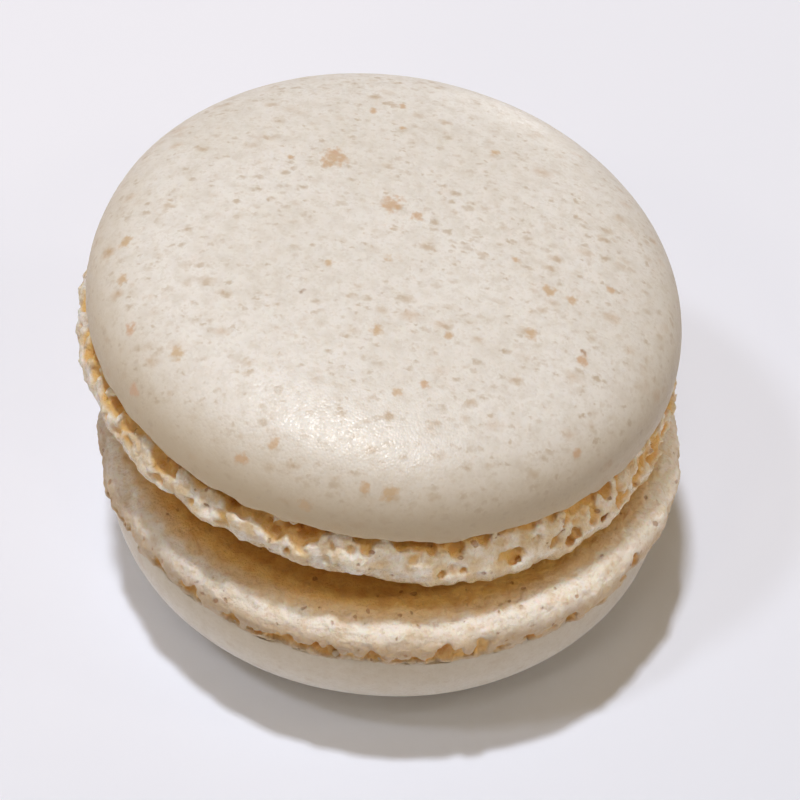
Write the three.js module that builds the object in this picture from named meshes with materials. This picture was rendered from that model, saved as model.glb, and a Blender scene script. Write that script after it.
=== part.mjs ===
// A French macaron. Two almond meringue shells face each other across a disc of filling. Each shell is one
// baked piece: a smooth domed cap on a craggy foot, the ring of blown-out crumb that it rose on in the oven.
// The lower shell lies on its dome. The upper one has slipped and tipped a little on the soft filling, which
// stops well short of the shells' edge.
// Millimetres, +Z up. The origin is the middle of the flat spot that the lower shell rests on.
import * as THREE from "three";
import { mergeVertices } from "three/addons/utils/BufferGeometryUtils.js";

// The two shells. A capPower over 2 gives the dome a squarer shoulder than an ellipse has. The foot swells
// furthest out and away from the cap at the turn swellAt, in degrees round the shell's own axis.
const UPPER_SHELL = {
  seed: 11,
  capRadius: 22.3,
  capHeight: 8.1,
  capPower: 2.75,
  neckRadius: 21.5,
  footRadius: 22.7,
  footHeight: 4.5,
  rimRound: 0.8,
  pockets: 30,
  pocketDepth: 1.5,
  swellAt: 36,
  swellOut: 0.35,
  swellDown: 0.85,
};
const LOWER_SHELL = {
  seed: 3,
  capRadius: 21.4,
  capHeight: 9.0,
  capPower: 3.0,
  neckRadius: 20.9,
  footRadius: 22.3,
  footHeight: 4.4,
  rimRound: 1.5,
  pockets: 22,
  pocketDepth: 1.1,
  swellAt: 122,
  swellOut: 0.1,
  swellDown: 0.8,
};

// How the upper shell sits: slipped sideways and back, and tipped down to the front and the right, in degrees
const SLIP_X = -1.1;
const SLIP_Y = 2.0;
const TIP_FRONT = 2.6;
const TIP_RIGHT = 4.0;

// The gap between the shells under the middle of the upper one, and the filling that stands in it
const SHELL_GAP = 4.7;
const FILLING_SEED = 3;
const FILLING_RADIUS = 16.4;
const FILLING_BULGE = 0.9;
const FILLING_WAVE = 0.35;
const CLEARANCE = 0.3;

// The flat spot is where this much is off the crown of the lower dome
const CROWN_CUT = 0.12;

// The cap's lip hangs a little below its widest ring, and wanders up and down
const LIP_DROP = 0.45;
const LIP_ROUND = 0.35;
const LIP_WAVE = 0.22;

// The uneven roundness of a whole shell, and the relief of its foot: lumps and folds on the side, waves on
// the rim. The shell's underside is flat up to this far from the rim.
const UNEVENNESS = 0.12;
const LUMP = 0.28;
const RIM_WAVE = 0.3;
const FLAT_INSET = 3.5;

// How many bumps of each kind there are round a shell, and round the filling
const BUMPS_ROUND = { unevenness: 5, folds: 31, rim: 36, lip: 44, lumps: 84, filling: 9 };

// The pockets under the lip: half sizes, how far below the cap's widest ring their middles lie, and the
// shares of a half size between which their walls slope
const POCKET_WIDTH = [0.9, 2.3];
const POCKET_HEIGHT = [0.5, 1.0];
const POCKET_LEVEL = [0.4, 1.5];
const POCKET_WALL = [0.45, 1.1];

// Shares of the foot's height over which the lip gives way to lumps, over which the swelling sets in, and
// over which the rim's waves do
const LIP_TO_LUMPS = [0.1, 0.3];
const NECK_TO_SWELL = [0.15, 0.6];
const SIDE_TO_RIM = [0.5, 0.95];

// The swelling is full up to the first of these shares of a turn from its middle, and ends at the second
const SWELL_REACH = [0.03, 0.13];

// How finely the pieces are faceted
const SHELL_SEGMENTS = 136;
const DOME_ROWS = 10;
const FOOT_ROWS = 7;
const FILLING_SEGMENTS = 64;
const FILLING_ROWS = 5;

const { degToRad, lerp, smoothstep } = THREE.MathUtils;
const shellMaterial = new THREE.MeshStandardMaterial({ color: 0xe6dccb, roughness: 0.55, metalness: 0 });
const fillingMaterial = new THREE.MeshStandardMaterial({ color: 0xb98b55, roughness: 0.5, metalness: 0 });

// A repeatable source of numbers from 0 to 1.
function seeded(seed) {
  let state = seed;
  return () => {
    state = (state * 1664525 + 1013904223) % 4294967296;
    return state / 4294967296;
  };
}

function between(random, [low, high]) {
  return low + (high - low) * random();
}

// Smooth noise from -1 to 1 over a band that closes on itself: `cells` bumps round it and `rows` bumps high.
// turn runs from 0 to 1 round the band, and level from 0 to 1 across it.
function bandNoise(random, cells, rows) {
  const grid = Array.from({ length: rows + 2 }, () => Array.from({ length: cells }, () => 2 * random() - 1));
  return (turn, level) => {
    const across = turn * cells;
    const up = Math.min(Math.max(level, 0), 1) * rows;
    const [column, row] = [Math.floor(across), Math.floor(up)];
    const x = smoothstep(across - column, 0, 1);
    const y = smoothstep(up - row, 0, 1);
    const at = (i, j) => grid[row + j][(column + i) % cells];
    const low = lerp(at(0, 0), at(1, 0), x);
    const high = lerp(at(0, 1), at(1, 1), x);
    return lerp(low, high, y);
  };
}

// A profile of [radius, height, weight] rows turned round the Z axis, with each point then moved out and up
// by move(turn, height), as far as its weight says. Turn 0 faces -Y, and the turn grows towards +X.
function turned(rows, segments, move) {
  const profile = rows.map(([radius, height]) => new THREE.Vector2(radius, height));
  const geometry = new THREE.LatheGeometry(profile, segments);
  geometry.rotateX(Math.PI / 2);
  const position = geometry.getAttribute("position");
  for (let n = 0; n < position.count; n++) {
    const [radius, height, weight] = rows[n % rows.length];
    if (radius === 0 || weight === 0) continue;
    const turn = (Math.floor(n / rows.length) % segments) / segments;
    const [out, up] = move(turn, height);
    const grown = (radius + out * weight) / radius;
    position.setXYZ(n, position.getX(n) * grown, position.getY(n) * grown, position.getZ(n) + up * weight);
  }
  return geometry;
}

function namedMesh(name, geometry, material) {
  geometry.deleteAttribute("normal");
  geometry.deleteAttribute("uv");
  const mesh = new THREE.Mesh(mergeVertices(geometry, 1e-4), material);
  mesh.geometry.computeVertexNormals();
  mesh.name = name;
  return mesh;
}

// The pockets are hollows that the steam blew out just under the lip. This gives their depth at a point.
function pocketField(shell, random) {
  const round = 2 * Math.PI * shell.footRadius;
  const pockets = Array.from({ length: shell.pockets }, () => ({
    at: random() * round,
    level: between(random, POCKET_LEVEL),
    width: between(random, POCKET_WIDTH),
    height: between(random, POCKET_HEIGHT),
    depth: shell.pocketDepth * between(random, [0.55, 1]),
  }));
  return (turn, level) =>
    pockets.reduce((deepest, pocket) => {
      const along = Math.abs(turn * round - pocket.at);
      const across = Math.min(along, round - along) / pocket.width;
      const reach = Math.hypot(across, (level - pocket.level) / pocket.height);
      return Math.max(deepest, pocket.depth * (1 - smoothstep(reach, ...POCKET_WALL)));
    }, 0);
}

// How far a shell's foot swells at a turn, from 0 to 1.
function swelling(shell, turn) {
  const away = Math.abs(turn - shell.swellAt / 360);
  return 1 - smoothstep(Math.min(away, 1 - away), ...SWELL_REACH);
}

// The rows of a shell's profile. The ring where the cap is widest lies at height 0: the foot below it, the
// dome above. A row's weight is how far its relief counts: fully round the foot and the widest ring, and not
// at all on the flat underside and at the crown.
function footRows({ capRadius, neckRadius, footRadius, footHeight, rimRound }) {
  const sideBottom = -footHeight + rimRound;
  const rows = [
    [0, -footHeight, 0],
    [footRadius - FLAT_INSET, -footHeight, 0],
    [footRadius - rimRound, -footHeight, 0.4],
    [footRadius - 0.3 * rimRound, -footHeight + 0.3 * rimRound, 1],
  ];
  for (let k = 0; k <= FOOT_ROWS; k++) {
    const rise = k / FOOT_ROWS;
    const radius = lerp(footRadius, neckRadius, smoothstep(rise, 0.2, 1.1));
    rows.push([radius, lerp(sideBottom, -LIP_DROP, rise), 1]);
  }
  rows.push([capRadius - LIP_ROUND, -LIP_DROP, 1]);
  return rows;
}

function domeRows({ capRadius, capHeight, capPower }) {
  const crown = capHeight - CROWN_CUT;
  const rows = [];
  for (let k = 0; k < DOME_ROWS; k++) {
    const angle = (k / DOME_ROWS) * (Math.PI / 2);
    const height = capHeight * Math.sin(angle) ** (2 / capPower);
    rows.push([capRadius * Math.cos(angle) ** (2 / capPower), Math.min(height, crown), 1 - k / DOME_ROWS]);
  }
  return [...rows, [0, crown, 0]];
}

// One shell, from the middle of its flat underside out round the rim, up the craggy side to the neck, out
// along the underside of the lip and over the dome.
function shellGeometry(shell) {
  const random = seeded(shell.seed);
  const unevenness = bandNoise(random, BUMPS_ROUND.unevenness, 1);
  const lip = bandNoise(random, BUMPS_ROUND.lip, 1);
  const lumps = bandNoise(random, BUMPS_ROUND.lumps, 4);
  const folds = bandNoise(random, BUMPS_ROUND.folds, 2);
  const rim = bandNoise(random, BUMPS_ROUND.rim, 1);
  const hollow = pocketField(shell, random);
  return turned([...footRows(shell), ...domeRows(shell)], SHELL_SEGMENTS, (turn, height) => {
    const roundness = UNEVENNESS * unevenness(turn, 0);
    if (height >= 0) return [roundness, 0];
    const level = -height / shell.footHeight;
    const lumpy = smoothstep(level, ...LIP_TO_LUMPS);
    const wavy = smoothstep(level, ...SIDE_TO_RIM);
    const lumpOut = LUMP * lumpy * (lumps(turn, level) + folds(turn, level));
    const rimOut = RIM_WAVE * wavy * rim(turn, 0);
    const lipUp = LIP_WAVE * (1 - lumpy) * lip(turn, 0);
    const rimUp = RIM_WAVE * wavy * folds(turn, 1);
    const swell = swelling(shell, turn) * smoothstep(level, ...NECK_TO_SWELL);
    const out = roundness + lumpOut + rimOut + shell.swellOut * swell - hollow(turn, -height);
    return [out, lipUp - rimUp - shell.swellDown * swell];
  });
}

// The filling stands on the lower shell and reaches the upper one's tipped underside, whose plane is `under`.
function fillingGeometry(base, middle, under) {
  const wave = bandNoise(seeded(FILLING_SEED), BUMPS_ROUND.filling, 1);
  const rows = [[0, 0, 0]];
  for (let k = 0; k <= FILLING_ROWS; k++) {
    const rise = k / FILLING_ROWS;
    rows.push([FILLING_RADIUS + FILLING_BULGE * Math.sin(Math.PI * rise), rise, 1]);
  }
  rows.push([0, 1, 0]);
  const geometry = turned(rows, FILLING_SEGMENTS, (turn) => [FILLING_WAVE * wave(turn, 0), 0]);
  geometry.translate(middle.x, middle.y, 0);
  const position = geometry.getAttribute("position");
  const ray = new THREE.Ray(new THREE.Vector3(), new THREE.Vector3(0, 0, 1));
  for (let n = 0; n < position.count; n++) {
    ray.origin.set(position.getX(n), position.getY(n), base);
    const roof = ray.distanceToPlane(under) - CLEARANCE;
    position.setZ(n, base + lerp(CLEARANCE, roof, position.getZ(n)));
  }
  return geometry;
}

const macaron = new THREE.Group();
macaron.name = "macaron";

const lower = new THREE.Group();
lower.position.z = LOWER_SHELL.capHeight - CROWN_CUT;
lower.rotation.x = Math.PI;
lower.add(namedMesh("lower_shell", shellGeometry(LOWER_SHELL), shellMaterial));

const lowerFace = lower.position.z + LOWER_SHELL.footHeight;
const upper = new THREE.Group();
upper.position.set(SLIP_X, SLIP_Y, lowerFace + SHELL_GAP + UPPER_SHELL.footHeight);
upper.rotation.set(degToRad(TIP_FRONT), degToRad(TIP_RIGHT), 0, "YXZ");
upper.add(namedMesh("upper_shell", shellGeometry(UPPER_SHELL), shellMaterial));
upper.updateMatrix();

const underside = new THREE.Plane(new THREE.Vector3(0, 0, -1), -UPPER_SHELL.footHeight);
underside.applyMatrix4(upper.matrix);
const fillingMiddle = new THREE.Vector2(SLIP_X / 2, SLIP_Y / 2);
const filling = namedMesh("filling", fillingGeometry(lowerFace, fillingMiddle, underside), fillingMaterial);

macaron.add(lower, filling, upper);
export default macaron;
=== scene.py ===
# %% [markdown]
# # A French macaron
# Two almond meringue shells face each other across a disc of filling. A shell is one baked piece,
# and it has two very different surfaces. The cap is a skin that dried before it went into the
# oven, smooth and satin with flecks of ground almond in it. The foot is the froth that pushed out
# from under that skin when it rose: a ring of sugary crumb, full of burst bubbles.
#
# This lesson models the froth as froth. Each shell's ring starts as a plain turned form, and then
# hundreds of bubbles are cut out of it, so that the hollows, the thin walls between them and the
# ragged rims come by themselves. The other way, a bump texture on a smooth ring, would look flat
# at the edge and from the side.

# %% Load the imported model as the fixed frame
import math
import random
import time

import bmesh
import bpy
from mathutils import Matrix, Vector, noise
from mathutils.bvhtree import BVHTree


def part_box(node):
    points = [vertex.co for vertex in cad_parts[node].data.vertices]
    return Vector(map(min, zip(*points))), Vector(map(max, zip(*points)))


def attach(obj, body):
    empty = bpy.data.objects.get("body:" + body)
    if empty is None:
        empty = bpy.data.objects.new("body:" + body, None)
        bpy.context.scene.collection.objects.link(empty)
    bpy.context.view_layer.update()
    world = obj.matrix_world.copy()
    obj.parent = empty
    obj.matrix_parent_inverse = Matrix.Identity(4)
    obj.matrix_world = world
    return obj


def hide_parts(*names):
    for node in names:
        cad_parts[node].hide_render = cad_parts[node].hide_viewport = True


started = time.time()
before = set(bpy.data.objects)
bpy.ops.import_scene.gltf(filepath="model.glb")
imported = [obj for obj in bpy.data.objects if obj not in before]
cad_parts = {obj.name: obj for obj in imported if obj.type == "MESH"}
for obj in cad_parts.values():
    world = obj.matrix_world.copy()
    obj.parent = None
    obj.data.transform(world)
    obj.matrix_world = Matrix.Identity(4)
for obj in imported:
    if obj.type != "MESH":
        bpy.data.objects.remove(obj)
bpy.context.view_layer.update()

# %% [markdown]
# ## Sizes
# Baking sizes read best in millimetres, so every form below is made in millimetres about its own
# shell's axis, and the last step of each piece turns it to metres and puts it in its place. In a
# shell's own frame the cap's widest ring lies at height 0, with the dome above it and the foot
# below. These are the sizes that the solid model was built to.

# %% The two shells' sizes
MM = 0.001
UPPER = dict(cap_radius=22.3, cap_height=8.1, cap_power=2.75, foot_radius=22.7, foot_height=4.5,
             swell_turn=36, swell_from=20, swell_out=0.35, swell_down=0.85)
LOWER = dict(cap_radius=21.4, cap_height=9.0, cap_power=3.0, foot_radius=22.3, foot_height=4.4,
             swell_turn=122, swell_from=16.5, swell_out=0.1, swell_down=0.8)
CROWN_CUT = 0.12  # what the flat spot that it rests on takes off the lower dome
SHELL_GAP = 4.7
SLIP = Vector((-1.1, 2.0))
TIP_FRONT, TIP_RIGHT = math.radians(2.6), math.radians(4.0)

lower_height = LOWER["cap_height"] - CROWN_CUT
face_height = lower_height + LOWER["foot_height"]
upper_height = face_height + SHELL_GAP + UPPER["foot_height"]
LOWER_PLACE = Matrix.Translation((0, 0, lower_height)) @ Matrix.Rotation(math.pi, 4, "X")
UPPER_PLACE = (Matrix.Translation((*SLIP, upper_height))
               @ Matrix.Rotation(TIP_RIGHT, 4, "Y") @ Matrix.Rotation(TIP_FRONT, 4, "X"))
print(f"flat face at {face_height:.1f} mm, upper shell's ring at {upper_height:.1f} mm")

# %% [markdown]
# ## The camera
# A long lens looks down on the macaron from the front, with the horizon a little turned. The lens
# and its distance belong together: a close wide lens would make the upper cap look far larger than
# the lower one.

# %% Camera
ELEVATION, ROLL = math.radians(45.4), math.radians(4.8)
LENS, DISTANCE, SENSOR = 154.0, 260.0, 36.0
AIM = Vector((0.6, 0, 14.8))
NEAREST_SEEN = 0.01  # metres

camera = bpy.data.objects.new("camera", bpy.data.cameras.new("camera"))
camera.data.lens, camera.data.sensor_width = LENS, SENSOR
camera.data.clip_start = NEAREST_SEEN
backwards = Vector((0, -math.cos(ELEVATION), math.sin(ELEVATION)))
turned_to_view = Matrix.Rotation(math.pi / 2 - ELEVATION, 4, "X") @ Matrix.Rotation(ROLL, 4, "Z")
camera.matrix_world = Matrix.Translation((AIM + DISTANCE * backwards) * MM) @ turned_to_view
bpy.context.scene.collection.objects.link(camera)
bpy.context.scene.camera = camera
print(f"camera {DISTANCE:.0f} mm away and {math.degrees(ELEVATION):.1f} degrees up,",
      f"{LENS:.0f} mm lens")

# %% [markdown]
# ## The turned form
# Both the cap and the ring under it are bodies of revolution before the oven works on them. An
# outline of a few points is spun once round the axis. Spinning needs its seam and its poles
# merged, and a closed body needs its normals made to agree, or the cuts below would work inside
# out.

# %% Spin an outline into a closed body
WEDGES = 20
MERGE_NEARER = 0.001
SPIN = dict(axis=(0, 0, 1), cent=(0, 0, 0))


def spun(outline, steps):
    """Spins one wedge of the body and then copies of it, far quicker than one long spin."""
    form = bmesh.new()
    points = [form.verts.new((radius, 0, height)) for radius, height in outline]
    edges = [form.edges.new(pair) for pair in zip(points, points[1:])]
    wedge = 2 * math.pi / WEDGES
    bmesh.ops.spin(form, geom=points + edges, angle=wedge, steps=steps // WEDGES, **SPIN)
    whole_wedge = form.verts[:] + form.edges[:] + form.faces[:]
    bmesh.ops.spin(form, geom=whole_wedge, angle=2 * math.pi - wedge, steps=WEDGES - 1,
                   use_duplicate=True, **SPIN)
    bmesh.ops.remove_doubles(form, verts=form.verts, dist=MERGE_NEARER)
    bmesh.ops.recalc_face_normals(form, faces=form.faces)
    return form


def finer(outline, step):
    """The same outline with points added, so that none are further apart than step."""
    points = [outline[0]]
    for start, end in zip(outline, outline[1:]):
        parts = max(1, math.ceil(math.dist(start, end) / step))
        for k in range(1, parts + 1):
            points.append(tuple(a + (b - a) * k / parts for a, b in zip(start, end)))
    return points


def smooth_step(value, low, high):
    """0 below low, 1 above high, and an easy curve between."""
    share = min(max((value - low) / (high - low), 0), 1)
    return share * share * (3 - 2 * share)


def turn_of(point):
    """Degrees round the axis, 0 at the front (-Y) and growing towards +X."""
    return math.degrees(math.atan2(point.x, -point.y))


# %% [markdown]
# ## The cap
# The skin of a cap is a superellipse in section: flatter on top and squarer at the shoulder than a
# ball. Its lip is thin, hangs over the foot a little, and is ragged where the skin tore away from
# the froth. The outline runs from the middle of the shell's flat face up a core that the ring
# wraps, out under the lip, round it and over the dome. Round the lip the points are close
# together, because that edge is what shows.

# %% Outline of a cap
CORE_RADIUS = 15.5
LIP_DEPTH, LIP_POINTS_APART = 0.42, 0.12
DOME_ROWS, LIP_STEPS = 72, 760
FACE_CLEARANCE = 0.08  # the froth covers the core, so the core stops just short of the face


def dome_point(size, angle):
    sharpness = 2 / size["cap_power"]
    radius = size["cap_radius"] * max(math.cos(angle), 0) ** sharpness
    return radius, size["cap_height"] * math.sin(angle) ** sharpness


def cap_outline(size, crown_cut=0):
    edge, floor = size["cap_radius"], -size["foot_height"] + FACE_CLEARANCE
    under = [(0, floor), (CORE_RADIUS, floor), (CORE_RADIUS, -0.05),
             (edge - 1.5, -0.03), (edge - 0.7, -0.12)]
    lip = [(edge - 0.3, -LIP_DEPTH + 0.06), (edge - 0.2, -LIP_DEPTH),
           (edge - 0.08, -LIP_DEPTH + 0.08), (edge - 0.01, -0.2)]
    dome = [dome_point(size, math.pi / 2 * k / DOME_ROWS) for k in range(DOME_ROWS)]
    crown = size["cap_height"] - crown_cut
    dome = [(radius, min(height, crown)) for radius, height in dome]
    return under + finer(lip, LIP_POINTS_APART) + dome + [(0, crown)]


print(f"outline of a cap: {len(cap_outline(UPPER))} points, spun in {LIP_STEPS} steps")

# %% [markdown]
# No cap is a perfect dome. Slow noise makes it a little uneven, and a low nub is left on the crown
# where the piping nozzle lifted off. At the lip two finer noises pull the edge down in small
# tongues and up in notches.

# %% Make a cap uneven
DOME_SWELL, SWELL_WIDTH = 0.10, 9  # how much, and how far from one to the next
DOME_DIMPLE, DIMPLE_WIDTH = 0.018, 1.6
LIP_TONGUE, TONGUE_WIDTH = 0.62, 1.9
LIP_NOTCH, NOTCH_WIDTH = 0.42, 0.55
NUB_SPOT, NUB_RADIUS, NUB_HEIGHT, NUB_FROM = Vector((-0.6, 5.4)), 1.8, 0.18, 4


def uneven_cap(form, seed, nub):
    """nub is 1 for a cap that shows the nozzle's mark and 0 for one that doesn't."""
    shift = Vector((seed * 7.3, seed * 3.1, 0))
    for vert in form.verts:
        spot = vert.co.copy()
        outwards = Vector((spot.x, spot.y, 0)).normalized()
        if spot.z > -LIP_DEPTH - 0.1 and spot.xy.length > CORE_RADIUS + 1:
            swell = DOME_SWELL * noise.noise((spot + shift) / SWELL_WIDTH)
            vert.co += outwards * swell
        if spot.z > 0.2:
            low = smooth_step(spot.z, 0.2, 2.0)
            dimple = DOME_DIMPLE * noise.fractal((spot + shift) / DIMPLE_WIDTH, 1.0, 2.0, 2)
            from_nub = (spot.xy - NUB_SPOT).length / NUB_RADIUS
            mark = nub * NUB_HEIGHT * math.exp(-from_nub ** 2) * (spot.z > NUB_FROM)
            vert.co.z += low * dimple + mark
        elif spot.z < -0.1 and spot.xy.length > CORE_RADIUS + 3:
            ragged = smooth_step(-spot.z, 0.1, LIP_DEPTH)
            around = Vector((spot.x, spot.y, 0)) + shift
            tongue = LIP_TONGUE * noise.noise(around / TONGUE_WIDTH)
            notch = LIP_NOTCH * noise.noise(around / NOTCH_WIDTH)
            vert.co.z += ragged * (tongue + notch)
            vert.co += outwards * ragged * 0.5 * notch


# %% [markdown]
# ## The ring of froth
# The ring is a closed band under the cap: its top is hidden in the dome, its foot is the shell's
# flat face, and its inner wall is out of sight beside the filling. Before the bubbles are cut, the
# side is swollen into lumps the size of a grain of rice. Voronoi distance gives such round bosses
# with creases between them, where ordinary noise would give soft hills.

# %% Outlines of the two rings
RING_INSIDE, RING_TOP = 14.5, 0.7


def ring_outline(size, side):
    bottom = -size["foot_height"]
    ring = [(RING_INSIDE, bottom), *side, (side[-1][0] - 0.4, RING_TOP), (RING_INSIDE, RING_TOP)]
    return ring + [(RING_INSIDE, bottom)]


# Radius and height of each point, from the flat face up to where the cap hides the ring.
UPPER_SIDE = [(20.6, -4.5), (21.5, -4.43), (22.15, -4.22), (22.55, -3.85), (22.75, -3.3),
              (22.7, -2.6), (22.4, -2.0), (22.05, -1.5), (21.7, -1.05), (21.45, -0.5),
              (21.3, 0.1)]
LOWER_SIDE = [(18.6, -4.4), (19.8, -4.34), (20.8, -4.12), (21.5, -3.78), (22.0, -3.25),
              (22.27, -2.65), (22.32, -2.05), (22.22, -1.5), (22.0, -1.0), (21.72, -0.62),
              (21.42, -0.28), (21.2, 0.1)]


def side_radius(side, height):
    """How far from the axis the plain side lies at a height."""
    for (r_low, low), (r_high, high) in zip(side, side[1:]):
        if low <= height <= high and high > low:
            return r_low + (r_high - r_low) * (height - low) / (high - low)
    return side[-1][0] if height > side[-1][1] else side[0][0]


print(f"widest at {max(UPPER_SIDE)[0]} mm above and {max(LOWER_SIDE)[0]} mm below")

# %% Swell the side into lumps
FINE_BOSS, COARSE_BOSS, FINE_SHARE = 0.9, 1.9, 0.45
BOSS_MEAN = 0.6  # taken off, so that the bosses don't make the whole ring wider
FOLD_WIDTH, WAVE_OUT_WIDTH, WAVE_UP_WIDTH = 3.2, 2.6, 3.6
SWELL_FULL, SWELL_END = 11, 47  # degrees to each side of swell_turn


def boss(point, size):
    """A round boss for each Voronoi cell: 1 at its middle and 0 in the creases."""
    nearest = noise.voronoi(point / size)[0][0]
    return max(0.0, 1 - nearest * nearest)


def swell_ring(form, size, seed, bosses, folds, rim_wave):
    """bosses and folds are how far the lumps stand out. The ring also swells to one side."""
    shift = Vector((seed * 5.7, 0, seed * 2.9))
    for vert in form.verts:
        spot = vert.co.copy()
        radius = spot.xy.length
        if radius < CORE_RADIUS or spot.z > 0.2:
            continue  # out of sight
        outwards = Vector((spot.x, spot.y, 0)).normalized()
        side = smooth_step(radius, 20.2, 21.4) * (1 - smooth_step(spot.z, -0.5, 0.1))
        low = smooth_step(-spot.z, 2.4, 4.0) * smooth_step(radius, 19.5, 21.5)
        fine = boss(spot + shift, FINE_BOSS) - BOSS_MEAN
        coarse = boss(spot - shift, COARSE_BOSS) - BOSS_MEAN
        lump = bosses * (FINE_SHARE * fine + coarse)
        lump += folds * noise.noise((spot + shift) / FOLD_WIDTH)
        around = Vector((spot.x, spot.y, 0)) + shift
        off = abs((turn_of(spot) - size["swell_turn"] + 180) % 360 - 180)
        run = 1 - smooth_step(off, SWELL_FULL, SWELL_END)
        run *= smooth_step(-spot.z, 0.7, 2.7) * smooth_step(radius, size["swell_from"], 22)
        wave = low * rim_wave * noise.noise(around / WAVE_OUT_WIDTH)
        vert.co += outwards * (side * lump + wave + run * size["swell_out"])
        rise = low * rim_wave * noise.noise(around / WAVE_UP_WIDTH + Vector((9, 9, 9)))
        vert.co.z += rise - run * size["swell_down"]


# %% [markdown]
# ## Bubbles
# A bubble is a small icosphere, stretched, tilted and sunk in the side at a given turn round the
# axis. Under the upper lip the steam ran out, so the largest are there, long and flat like caves.
# On the left they run together into one channel, and on the right the froth was drawn out into
# leaning cells with thin walls. Round ones of all sizes sit lower down, and pin pricks on the flat
# face.

# %% One bubble
ALL_ROUND = (-180, 180)
ALONG_RADIUS = 22  # where a length along the side is turned into degrees


def degrees_along(length):
    return math.degrees(length / ALONG_RADIUS)


def add_bubble(form, turn, radius, height, half, tilt=0.0, finesse=2):
    """half is half the bubble's size along the ring, outwards and upwards."""
    place = (Matrix.Rotation(math.radians(turn), 4, "Z") @ Matrix.Translation((0, -radius, height))
             @ Matrix.Rotation(math.radians(tilt), 4, "Y") @ Matrix.Diagonal((*half, 1)))
    bmesh.ops.create_icosphere(form, subdivisions=finesse, radius=1, matrix=place)


# %% [markdown]
# Three families are shared by both shells. A cave is a cluster of bubbles that ran together. Foam
# is tiny round bubbles, for which the coarser icosphere is enough. Pin pricks dot the flat face.
# Last of all, one slow and one quick noise push all the bubbles of a ring out of shape together,
# as the froth was pushed when it rose. Without that the hollows look like neat scoops.

# %% Families of bubbles that both shells have
CAVE = dict(wide=(0.35, 0.8), deep=(0.8, 1.5), flatness=(0.5, 0.9), tilt=(-25, 25))
FACE_PRICK = dict(half=(0.12, 0.3), from_axis=(15.5, 21.6))
BUCKLE_FAR, BUCKLE_FAR_WIDTH = 0.26, 0.9  # how far it pushes, and how far to the next push
BUCKLE_NEAR, BUCKLE_NEAR_WIDTH = 0.12, 0.35
BUCKLE_SEED = 5  # without one, noise_vector would start from the clock


def add_cave(form, draw, side, turn, height, long, tall):
    """long and tall are how far the cave reaches to each side of its middle, in mm."""
    for _ in range(3 + int(5 * long * tall)):
        along, up = draw.uniform(-long, long), draw.uniform(-tall, tall) * 0.7
        wide = draw.uniform(*CAVE["wide"])
        half = (wide, draw.uniform(*CAVE["deep"]), wide * draw.uniform(*CAVE["flatness"]))
        add_bubble(form, turn + degrees_along(along), side_radius(side, height + up) + 0.15,
                   height + up, half, draw.uniform(*CAVE["tilt"]))


def add_foam(form, draw, side, count, heights, halves):
    for _ in range(count):
        height, small = draw.uniform(*heights), draw.uniform(*halves)
        add_bubble(form, draw.uniform(*ALL_ROUND), side_radius(side, height) + 0.08, height,
                   (small, small, small), 0, 1)


def add_face_pricks(form, draw, size, count):
    for _ in range(count):
        small = draw.uniform(*FACE_PRICK["half"]) ** 1.1
        turn, radius = draw.uniform(*ALL_ROUND), draw.uniform(*FACE_PRICK["from_axis"])
        add_bubble(form, turn, radius, -size["foot_height"] + small * 0.2,
                   (small, small, small * 1.2), 0, 1)


def buckle(form):
    noise.seed_set(BUCKLE_SEED)
    for vert in form.verts:
        far = BUCKLE_FAR * noise.noise_vector(vert.co / BUCKLE_FAR_WIDTH)
        vert.co += far + BUCKLE_NEAR * noise.noise_vector(vert.co / BUCKLE_NEAR_WIDTH)


# %% Bubbles of the upper shell
CHANNEL_FROM, CHANNEL_TO = -118, -12
CHANNEL_CAVES = dict(long=(0.9, 2.2), tall=(0.4, 1.35), apart=(1.3, 1.9))
OTHER_CAVES = dict(long=(0.5, 1.6), tall=(0.3, 0.85), apart=(1.6, 2.6))
MIDDLING = dict(count=300, half=(0.2, 0.5), stretch=(1, 1.7), tilt=(-30, 30))
LEANING = dict(count=260, turns=(28, 150), heights=(-3.4, -0.7), wide=(0.16, 0.42),
               deep=(0.5, 0.9), tall=(0.3, 0.95), tilt=(25, 70))
UPPER_FOAM = dict(count=700, heights=(-4.2, -0.5), halves=(0.12, 0.28))
UPPER_PRICKS = 260


def upper_bubbles(draw):
    form = bmesh.new()
    turn = -180.0
    while turn < 180:
        caves = CHANNEL_CAVES if CHANNEL_FROM < turn < CHANNEL_TO else OTHER_CAVES
        long, tall = draw.uniform(*caves["long"]), draw.uniform(*caves["tall"])
        add_cave(form, draw, UPPER_SIDE, turn, -0.75 - 0.6 * tall, long, tall)
        turn += degrees_along(long) * draw.uniform(*caves["apart"])
    for _ in range(MIDDLING["count"]):
        height = -0.7 - 3.0 * draw.random() ** 1.5  # most of them high up
        tall = draw.uniform(*MIDDLING["half"])
        turn = draw.uniform(*ALL_ROUND)
        half = (tall * draw.uniform(*MIDDLING["stretch"]), tall * 1.3, tall)
        add_bubble(form, turn, side_radius(UPPER_SIDE, height) + 0.16, height, half,
                   draw.uniform(*MIDDLING["tilt"]))
    for _ in range(LEANING["count"]):
        height = draw.uniform(*LEANING["heights"])
        turn = draw.uniform(*LEANING["turns"])
        half = [draw.uniform(*LEANING[way]) for way in ("wide", "deep", "tall")]
        add_bubble(form, turn, side_radius(UPPER_SIDE, height) + 0.15, height, half,
                   draw.uniform(*LEANING["tilt"]))
    add_foam(form, draw, UPPER_SIDE, **UPPER_FOAM)
    add_face_pricks(form, draw, UPPER, UPPER_PRICKS)
    buckle(form)
    return form


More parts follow.
